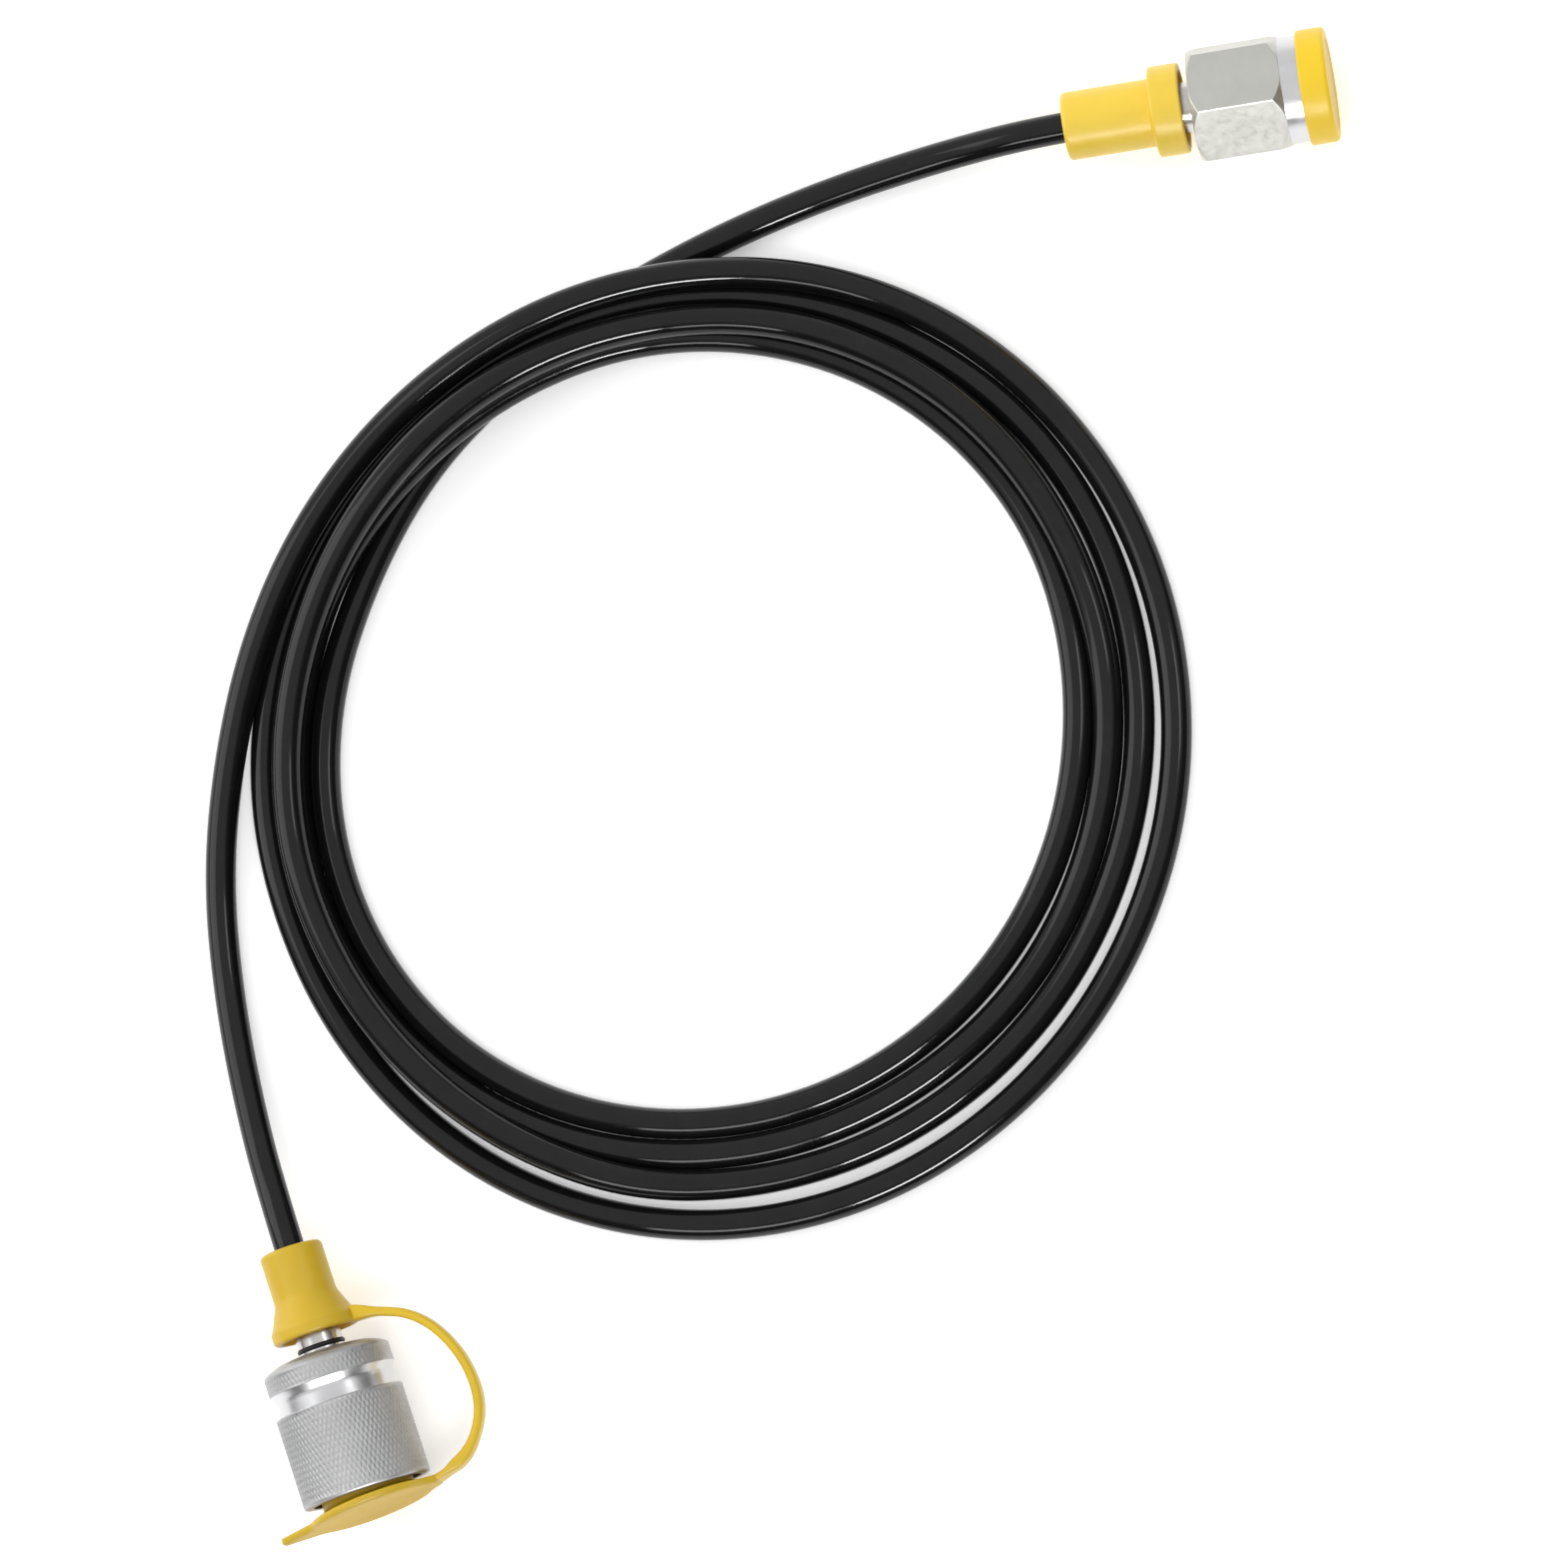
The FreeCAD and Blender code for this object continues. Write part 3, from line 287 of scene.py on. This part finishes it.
def rounded(pts, closed=True, step=None):
    """Corners given as (a, r, radius[, tag]) become arcs with a support point on each side.
    The tag of a corner names the material of the stretch that follows it."""
    n = len(pts)
    out = []
    for i in range(n):
        a, r, f = pts[i][:3]
        tag = pts[i][3] if len(pts[i]) > 3 else None
        prev = Vector(pts[(i - 1) % n][:2])
        nxt = Vector(pts[(i + 1) % n][:2])
        here = Vector((a, r))
        if f <= 0 or (not closed and i in (0, n - 1)):
            out.append((here.x, here.y, tag))
            continue
        u, v = prev - here, nxt - here
        lu, lv = u.length, v.length
        u.normalize()
        v.normalize()
        ang = math.acos(max(-1.0, min(1.0, u.dot(v))))
        turn = math.pi - ang
        if turn < 0.02:
            out.append((here.x, here.y, tag))
            continue
        cut = min(f * math.tan(turn / 2.0), 0.46 * lu, 0.46 * lv)
        rad = cut / math.tan(turn / 2.0)
        mid = (u + v).normalized()
        cen = here + mid * (rad / math.cos(turn / 2.0))
        p0, p1 = here + u * cut, here + v * cut
        sup = min(0.12, 0.3 * f)
        if lu - cut > 4 * sup:
            out.append(((p0 + u * sup).x, (p0 + u * sup).y, None))
        k = max(3, int(round(turn / math.radians(13))))
        d0, d1 = p0 - cen, p1 - cen
        for j in range(k + 1):
            w = j / k
            s0 = math.sin((1 - w) * turn) / math.sin(turn) if turn < math.pi - 1e-3 else 1 - w
            s1 = math.sin(w * turn) / math.sin(turn) if turn < math.pi - 1e-3 else w
            q = cen + d0 * s0 + d1 * s1
            out.append((q.x, q.y, tag if j >= k / 2 else None))
        if lv - cut > 4 * sup:
            out.append(((p1 + v * sup).x, (p1 + v * sup).y, tag))
    if step:
        more = []
        for i in range(len(out)):
            a0, r0, t0 = out[i]
            a1, r1, _ = out[(i + 1) % len(out)]
            more.append(out[i])
            zone = step(0.5 * (a0 + a1), 0.5 * (r0 + r1))
            if zone and not (not closed and i == len(out) - 1):
                k = int(math.hypot(a1 - a0, r1 - r0) / zone)
                for j in range(1, k + 1):
                    w = j / (k + 1)
                    more.append((a0 + (a1 - a0) * w, r0 + (r1 - r0) * w, t0))
        out = more
    return out


def lathe(name, side, pts, segs=128, mats=("boot",), rfun=None, step=None, body=MAIN, replaces=(), thetas=None, phase=0.0):
    """Revolves a closed profile about a coupling half's own axis."""
    prof = rounded(pts, True, step)
    th = thetas if thetas is not None else [2 * math.pi * i / segs for i in range(segs)]
    segs = len(th)
    verts, rows, faces, fmats = [], [], [], []
    for a, r, _ in prof:
        if r < 1e-6:
            rows.append([len(verts)] * segs)
            verts.append(world(side, a, 0, 0))
            continue
        row = []
        for t in th:
            rr = rfun(a, t, r) if rfun else r
            row.append(len(verts))
            verts.append(world(side, a, rr * math.cos(t + phase), rr * math.sin(t + phase)))
        rows.append(row)
    n = len(rows)
    cur = 0
    tags = []
    for a, r, t in prof:
        if t is not None:
            cur = t
        tags.append(cur)
    if prof and tags[0] == 0 and cur:
        pass
    for i in range(n):
        j = (i + 1) % n
        if rows[i][0] == rows[i][1] and rows[j][0] == rows[j][1]:
            continue
        for k in range(segs):
            l = (k + 1) % segs
            q = [rows[i][k], rows[i][l], rows[j][l], rows[j][k]]
            f = []
            for x in q:
                if x not in f:
                    f.append(x)
            if len(f) > 2:
                faces.append(f)
                fmats.append(tags[i])
    return make_mesh(name, verts, faces, mats, fmats, body, replaces)


def make_mesh(name, verts, faces, mats, fmats=None, body=MAIN, replaces=()):
    me = bpy.data.meshes.new(name)
    me.from_pydata(verts, [], faces)
    for k in mats:
        me.materials.append(M[k])
    if fmats:
        me.polygons.foreach_set("material_index", fmats)
    bm = bmesh.new()
    bm.from_mesh(me)
    bmesh.ops.recalc_face_normals(bm, faces=bm.faces)
    bm.to_mesh(me)
    bm.free()
    me.polygons.foreach_set("use_smooth", [True] * len(me.polygons))
    me.update()
    o = bpy.data.objects.new(name, me)
    bpy.context.scene.collection.objects.link(o)
    if body:
        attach(o, body)
    if replaces:
        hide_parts(*replaces)
    return o


# ------------------------------------------------------------------ boots
# the inner cup faces (tag 1) of each boot take the 'cup' rubber, which holds painted shade
lathe("boot_hex", "hx", [
    (0, 4.72, 0.3, 0), (0, 10.2, 1.3), (26.5, 10.2, 0.5), (26.9, 13.6, 0.9), (36.0, 13.6, 0.8, 0),
    (36.0, 11.3, 0.5, 1), (32.0, 11.2, 0.5), (32.0, 8.15, 0.2, 1), (6.0, 8.15, 0.2), (6.0, 4.72, 0.2)],
    144, ("boot", "cup"), replaces=("hex_boot",))


def flare(a, t, r):
    return r


lathe("boot_sleeve", "kn", [
    (0, 4.72, 0.3, 0), (0, 9.6, 1.6), (15.5, 9.6, 6.0), (21.5, 12.1, 3.0), (23.6, 13.35, 1.6), (27.2, 13.35, 1.5, 0),
    (27.2, 10.9, 0.5, 1), (24.4, 10.8, 0.5), (24.4, 8.15, 0.2, 1), (5.0, 8.15, 0.2), (5.0, 4.72, 0.2)],
    144, ("boot2", "cup"), replaces=("sleeve_boot",))

# ------------------------------------------------------------------ hexagonal body
HEX_ROLL = math.radians(12.7)


def hexed(a, t, r):
    if a < 38.9 or a > 66.6 or r < 13.0:
        return r
    s = (t - math.pi / 2) % (math.pi / 3)
    if s > math.pi / 6:
        s -= math.pi / 3
    flat = 16.0 / math.cos(s)
    k = 0.22  # soft minimum, so that the edges are broken
    h = max(0.0, min(1.0, 0.5 + 0.5 * (r - flat) / k))
    return r * (1 - h) + flat * h - k * h * (1 - h)


hex_t = []
for i in range(6):
    c0 = math.pi / 2 + math.pi / 6 + i * math.pi / 3
    for w in np.linspace(-1, 1, 61)[:-1]:
        hex_t.append(c0 + math.radians(30) * (abs(w) ** 1.5) * (1 if w >= 0 else -1))
hex_t = sorted(x % (2 * math.pi) for x in hex_t)


def hex_step(a, r):
    if r > 15.0 and (38.5 < a < 43.2 or 62.0 < a < 66.9):
        return 0.22
    if r > 15.0 and 38.5 < a < 66.9:
        return 1.2
    return None


lathe("coupling_hex", "hx", [
    (39.0, 7.9, 0.2, 0), (39.0, 16.2, 0.7), (41.1, 18.42, 0.8), (63.6, 18.42, 0.6), (66.4, 16.2, 0.3, 1),
    (66.5, 15.9, 0.1, 1), (73.0, 15.9, 0.4, 1), (73.0, 14.2, 0.15), (73.6, 14.2, 0.15), (73.9, 15.0, 0.1),
    (78.2, 15.0, 0.4), (78.6, 14.4, 0.2), (78.6, 11.6, 0.2), (78.1, 11.1, 0.2), (71.6, 11.1, 0.2),
    (71.6, 4.4, 0.2), (70.6, 4.4, 0.2), (69.1, 6.2, 0.2), (51.0, 6.2, 0.1), (51.0, 6.6, 0.1),
    (40.6, 6.6, 0.1), (40.6, 7.9, 0.1)],
    360, ("zinc", "polished"), rfun=hexed, step=hex_step, replaces=("hex_body",), thetas=hex_t, phase=-HEX_ROLL)

# ------------------------------------------------------------------ dust cap
lathe("cap", "hx", [
    (72.0, 16.1, 0.2, 0), (72.0, 17.2, 1.2), (80.5, 17.2, 2.0), (80.5, 14.2, 0.5, 1), (80.0, 13.2, 1.0, 1), (79.8, 0, 0, 1),
    (78.8, 0, 0, 0), (78.8, 16.2, 0.4), (72.8, 16.2, 0.1), (72.6, 16.1, 0.05)],
    160, ("cap", "face"), body="dust_cap", replaces=("dust_cap",))

# ------------------------------------------------------------------ knurled union sleeve
KN = 84
KPA = 3.7


def tri(x):
    return abs(2.0 * (x - math.floor(x)) - 1.0)


def smooth(x):
    x = max(0.0, min(1.0, x))
    return x * x * (3 - 2 * x)


def knurled(a, t, r):
    if r < 19.3:
        return r
    for lo, hi, depth in ((48.9, 75.2, 0.24), (36.2, 41.2, 0.14)):
        if lo < a < hi:
            u, v = KN * t / (2 * math.pi), (a - lo) / KPA
            g = max(tri(u + v), tri(u - v))
            return r - depth * smooth((a - lo) / 0.5) * smooth((hi - a) / 0.5) * smooth((g - 0.28) / 0.72)
    return r


def knurl_step(a, r):
    if r > 19.3 and (48.4 < a < 75.6 or 36.0 < a < 41.5):
        return 0.33
    return None


# the inner faces (tag 2) take the 'dark' steel, which is painted shade in the bore
lathe("knurled_sleeve", "kn", [
    (32.7, 9.07, 0.1, 0), (32.7, 11.5, 1.0), (33.2, 14.6, 2.0), (34.3, 17.6, 2.0), (35.5, 19.45, 0.9), (41.4, 19.45, 0.5, 1),
    (43.6, 18.2, 1.2, 1), (44.6, 18.1, 1.0), (48.3, 18.1, 0.15, 0), (48.35, 19.65, 0.35), (76.4, 19.65, 0.9),
    (76.4, 16.65, 0.3, 2), (70.6, 16.65, 0.2), (69.2, 15.0, 0.2), (50.6, 15.0, 0.2), (50.0, 15.6, 0.2),
    (39.6, 15.6, 0.2), (39.6, 9.07, 0.1)],
    576, ("knurl", "polished", "dark"), rfun=knurled, step=knurl_step, body="union_sleeve", replaces=("union_sleeve",))

# ------------------------------------------------------------------ dust plug: cup, disc, pull tab
cup = lathe("plug_cup", "kn", [
    (64.0, 12.3, 0.2, 0), (64.0, 14.2, 0.5), (78.0, 14.2, 1.5), (79.3, 15.3, 1.5), (79.95, 17.2, 0.1), (80.4, 17.2, 0.1), (80.4, 0, 0), (79.4, 0, 0), (79.4, 12.3, 0.4)],
    128, ("boot2",), body="dust_plug")

LEAN_Z, LEAN_Y = 0.078, 0.058  # the disc doesn't sit square: its foot and its tab stand away from the sleeve
p0, t0 = HALF["kn"]
for v in cup.data.vertices:
    dx, dy, dz = v.co.x / MM - p0.x, v.co.y / MM - p0.y, v.co.z / MM - p0.z
    along, across = dx * math.cos(t0) + dy * math.sin(t0), dy * math.cos(t0) - dx * math.sin(t0)
    k = smooth((along - 76.0) / 3.5)
    v.co = Vector(world("kn", along - k * (LEAN_Z * dz + LEAN_Y * across), across, dz))


def disc_outline():
    """The disc with its pointed tab on one side and the strap's lug on the other, in the disc's plane."""
    pts = []
    n = 260
    for i in range(n):
        t = 2 * math.pi * i / n
        c, s = math.cos(t), math.sin(t)
        r = 19.4
        # tab towards -y: straight flanks from the disc to a narrow rounded tip
        d = math.acos(max(-1, min(1, -c)))
        if d < 0.62:
            tip, half_tip, base = 29.4, 1.9, 9.4
            # distance to the flank line in polar form
            x0, y0, x1, y1 = 14.0, base, tip - 1.2, half_tip
            nx, ny = (y0 - y1), (x1 - x0)
            ln = math.hypot(nx, ny)
            nx, ny = nx / ln, ny / ln
            dist = nx * x0 + ny * y0
            rl = dist / max(1e-6, nx * math.cos(d) + ny * math.sin(d))
            rt = tip / max(1e-6, math.cos(d))
            rn = min(rl, rt)
            k = 1.0
            h = max(0.0, min(1.0, 0.5 + 0.5 * (rt - rl) / k))
            rn = rt * (1 - h) + rl * h - k * h * (1 - h) * 0.5
            k = 2.2
            h = max(0.0, min(1.0, 0.5 + 0.5 * (rn - r) / k))
            r = r * (1 - h) + rn * h + k * h * (1 - h) * 0.5
        d = math.acos(max(-1, min(1, c)))
        if d < 0.62:
            # lug towards the strap, as deep at its tip as the strap
            tip, half_tip = 22.0, 4.0
            x0, y0, x1, y1 = 15.2, 9.9, tip, half_tip
            nx, ny = (y0 - y1), (x1 - x0)
            ln = math.hypot(nx, ny)
            nx, ny = nx / ln, ny / ln
            rl = (nx * x0 + ny * y0) / max(1e-6, nx * math.cos(d) + ny * math.sin(d))
            rn = min(rl, tip / math.cos(d))
            k = 2.2
            h = max(0.0, min(1.0, 0.5 + 0.5 * (rn - r) / k))
            r = r * (1 - h) + rn * h + k * h * (1 - h) * 0.5
        pts.append((r * c, r * s))
    return pts


def lean(a, y, z):
    return world("kn", a - LEAN_Z * z - LEAN_Y * y, y, z)


def disc_piece():
    out = disc_outline()
    n = len(out)
    normals = []
    for i in range(n):
        x0, y0 = out[i - 1]
        x1, y1 = out[(i + 1) % n]
        l = math.hypot(x1 - x0, y1 - y0)
        normals.append(((y1 - y0) / l, -(x1 - x0) / l))
    layers = [(79.8, 1.3), (79.8, 0.75), (79.83, 0.5), (79.95, 0.22), (80.2, 0.05), (80.5, 0.0), (81.2, 0.0), (81.55, 0.08),
              (81.85, 0.3), (82.05, 0.62), (82.15, 1.0), (82.2, 1.6)]
    verts, faces, fm = [], [], []
    rows = []
    inner = 6
    # inside face, from the centre outwards
    cen0 = len(verts)
    verts.append(lean( 79.8, 0, 0))
    seq = [(79.8, w / inner, True) for w in range(1, inner)]
    for a, w, _ in seq:
        row = []
        for (x, y) in out:
            row.append(len(verts))
            verts.append(lean( a, x * w * 0.95, y * w * 0.95))
        rows.append(row)
    for a, ins in layers:
        row = []
        for (x, y), (nx, ny) in zip(out, normals):
            row.append(len(verts))
            verts.append(lean( a, x - nx * ins, y - ny * ins))
        rows.append(row)
    edge_rows = len(rows)
    for w in range(inner - 1, 0, -1):
        k = w / inner
        row = []
        for (x, y) in out:
            rr = math.hypot(x, y) * k * 0.93
            dish = 0.35 * smooth((15.5 - rr) / 2.2)
            row.append(len(verts))
            verts.append(lean( 82.2 - dish, x * k * 0.93, y * k * 0.93))
        rows.append(row)
    cen1 = len(verts)
    verts.append(lean( 82.2 - 0.35, 0, 0))
    for i in range(len(rows) - 1):
        for k in range(n):
            l = (k + 1) % n
            faces.append([rows[i][k], rows[i][l], rows[i + 1][l], rows[i + 1][k]])
            fm.append(1 if i >= edge_rows - 2 else 0)
    for k in range(n):
        l = (k + 1) % n
        faces.append([cen0, rows[0][l], rows[0][k]])
        fm.append(0)
        faces.append([rows[-1][k], rows[-1][l], cen1])
        fm.append(1)
    return make_mesh("plug_disc", verts, faces, ("boot2", "face2"), fm, "dust_plug", ("dust_plug",))


disc_piece()

# ------------------------------------------------------------------ strap
STRAP = [(24.6, 11.4), (25.0, 14.6), (26.8, 20.6), (29.6, 27.6), (34.6, 33.3), (41.0, 37.3), (47.8, 39.9), (54.6, 41.0),
         (60.8, 40.8), (66.3, 39.2), (71.2, 36.2), (75.2, 32.4), (77.5, 28.0), (79.4, 22.6), (79.9, 18.5), (80.05, 15.8)]


def bspline(pts, n):
    """Uniform quadratic B-spline through the control polygon's ends."""
    p = [Vector(q) for q in pts]
    out = []
    m = len(p) - 2
    for i in range(n + 1):
        u = i / n * m
        k = min(int(u), m - 1)
        t = u - k
        a, b, c = p[k], p[k + 1], p[k + 2]
        if k == 0:
            s0 = a
        else:
            s0 = (a + b) / 2
        s2 = c if k == m - 1 else (b + c) / 2
        out.append(s0 * (1 - t) ** 2 + b * 2 * t * (1 - t) + s2 * t * t)
    return out


def strap_piece():
    line = bspline(STRAP, 150)
    n = len(line)
    ds = [0.0]
    for i in range(1, n):
        ds.append(ds[-1] + (line[i] - line[i - 1]).length)
    total = ds[-1]
    ring = []
    # rounded rectangle, sampled
    def section(w, h, rad):
        pts = []
        for cx, cy, a0 in ((1, 1, 0), (-1, 1, 90), (-1, -1, 180), (1, -1, 270)):
            for j in range(6):
                t = math.radians(a0 + 90 * j / 5)
                pts.append((cx * (w / 2 - rad) + rad * math.cos(t), cy * (h / 2 - rad) + rad * math.sin(t)))
            if cx * cy > 0:
                for j in (0.25, 0.5, 0.75):
                    pts.append((cx * (w / 2 - rad) * (1 - 2 * j), cy * h / 2))
            else:
                for j in (0.25, 0.5, 0.75):
                    pts.append((cx * w / 2, cy * (h / 2 - rad) * (1 - 2 * j)))
        return pts
    verts, faces = [], []
    rows = []
    for i in range(n):
        t = (line[min(i + 1, n - 1)] - line[max(i - 1, 0)]).normalized()
        nx, ny = -t.y, t.x
        s = ds[i]
        w = 2.75 + 2.2 * smooth((9.0 - s) / 8.5) + 0.7 * smooth((s - (total - 24.0)) / 9.0) - 1.6 * smooth((s - (total - 13.5)) / 5.0)
        h = 6.2 + 1.8 * smooth((11.0 - s) / 8.0) + 2.3 * smooth((s - (total - 24.0)) / 14.0)
        row = []
        for x, z in section(w, h, min(1.15, 0.47 * w)):
            row.append(len(verts))
            tilt = LEAN_Z * z * smooth((s - (total - 15.0)) / 9.0)  # the end lies in the leaning disc
            verts.append(world("kn", line[i].x + nx * x - tilt, line[i].y + ny * x, z))
        rows.append(row)
    k = len(rows[0])
    for i in range(n - 1):
        for j in range(k):
            l = (j + 1) % k
            faces.append([rows[i][j], rows[i][l], rows[i + 1][l], rows[i + 1][j]])
    faces.append(rows[0][::-1])
    faces.append(rows[-1])
    return make_mesh("strap", verts, faces, ("strap",), None, None)


strap = strap_piece()
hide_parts("plug_strap")
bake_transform(strap)

# ------------------------------------------------------------------ floor and light
bpy.ops.mesh.primitive_plane_add(size=6.0, location=(0, 0, 0))
floor = bpy.context.object
floor.name = "floor"
fm, nt, bs = new_mat("floor_paper")
bs.inputs["Base Color"].default_value = (0.97, 0.97, 0.97, 1)
bs.inputs["Roughness"].default_value = 0.9
bs.inputs["Emission Color"].default_value = (1.0, 1.0, 1.0, 1)
bs.inputs["Emission Strength"].default_value = 0.36
floor.data.materials.append(fm)

world_data = bpy.data.worlds.new("studio")
bpy.context.scene.world = world_data
world_data.use_nodes = True
wn = world_data.node_tree
bg = wn.nodes["Background"]
tc = wn.nodes.new("ShaderNodeTexCoord")
tilt = wn.nodes.new("ShaderNodeVectorMath")
tilt.operation = "DOT_PRODUCT"
tilt.inputs[1].default_value = (-0.28, 0.50, 0.82)
wr = wn.nodes.new("ShaderNodeValToRGB")
wr.color_ramp.elements[0].position = 0.22
wr.color_ramp.elements[0].color = (0.10, 0.10, 0.10, 1)
wr.color_ramp.elements[1].position = 0.52
wr.color_ramp.elements[1].color = (0.86, 0.86, 0.86, 1)
wn.links.new(tc.outputs["Generated"], tilt.inputs[0])
wn.links.new(tilt.outputs["Value"], wr.inputs["Fac"])
wn.links.new(wr.outputs["Color"], bg.inputs["Color"])
bg.inputs["Strength"].default_value = 1.0


def area(name, loc, target, size, power, col=(1, 1, 1)):
    l = bpy.data.lights.new(name, "AREA")
    l.shape = "RECTANGLE"
    l.size, l.size_y = size
    l.energy = power
    l.color = col
    o = bpy.data.objects.new(name, l)
    bpy.context.scene.collection.objects.link(o)
    o.location = loc
    o.rotation_euler = (Vector(target) - Vector(loc)).to_track_quat("-Z", "Y").to_euler()
    return o


for lamp in (
        area("key", (0.553, -1.521, 1.176), (0, 0, 0), (0.60, 0.28), 24.0),
        area("key_soft", (-0.20, -1.60, 1.176), (0, 0, 0), (0.75, 0.45), 7.0),
        area("window", (1.14, 0.30, 1.60), (0, 0, 0), (0.40, 0.40), 1.6)):
    lamp.visible_diffuse = False  # these give the gloss; the sky and the side light give the tone
area("side", (-1.55, 0.25, 1.05), (0, 0, 0), (1.1, 1.7), 9.5)
area("front", (0.4, -1.2, 2.6), (0, 0, 0), (1.6, 1.2), 25.0).visible_glossy = False
bpy.context.scene.view_settings.view_transform = "Standard"
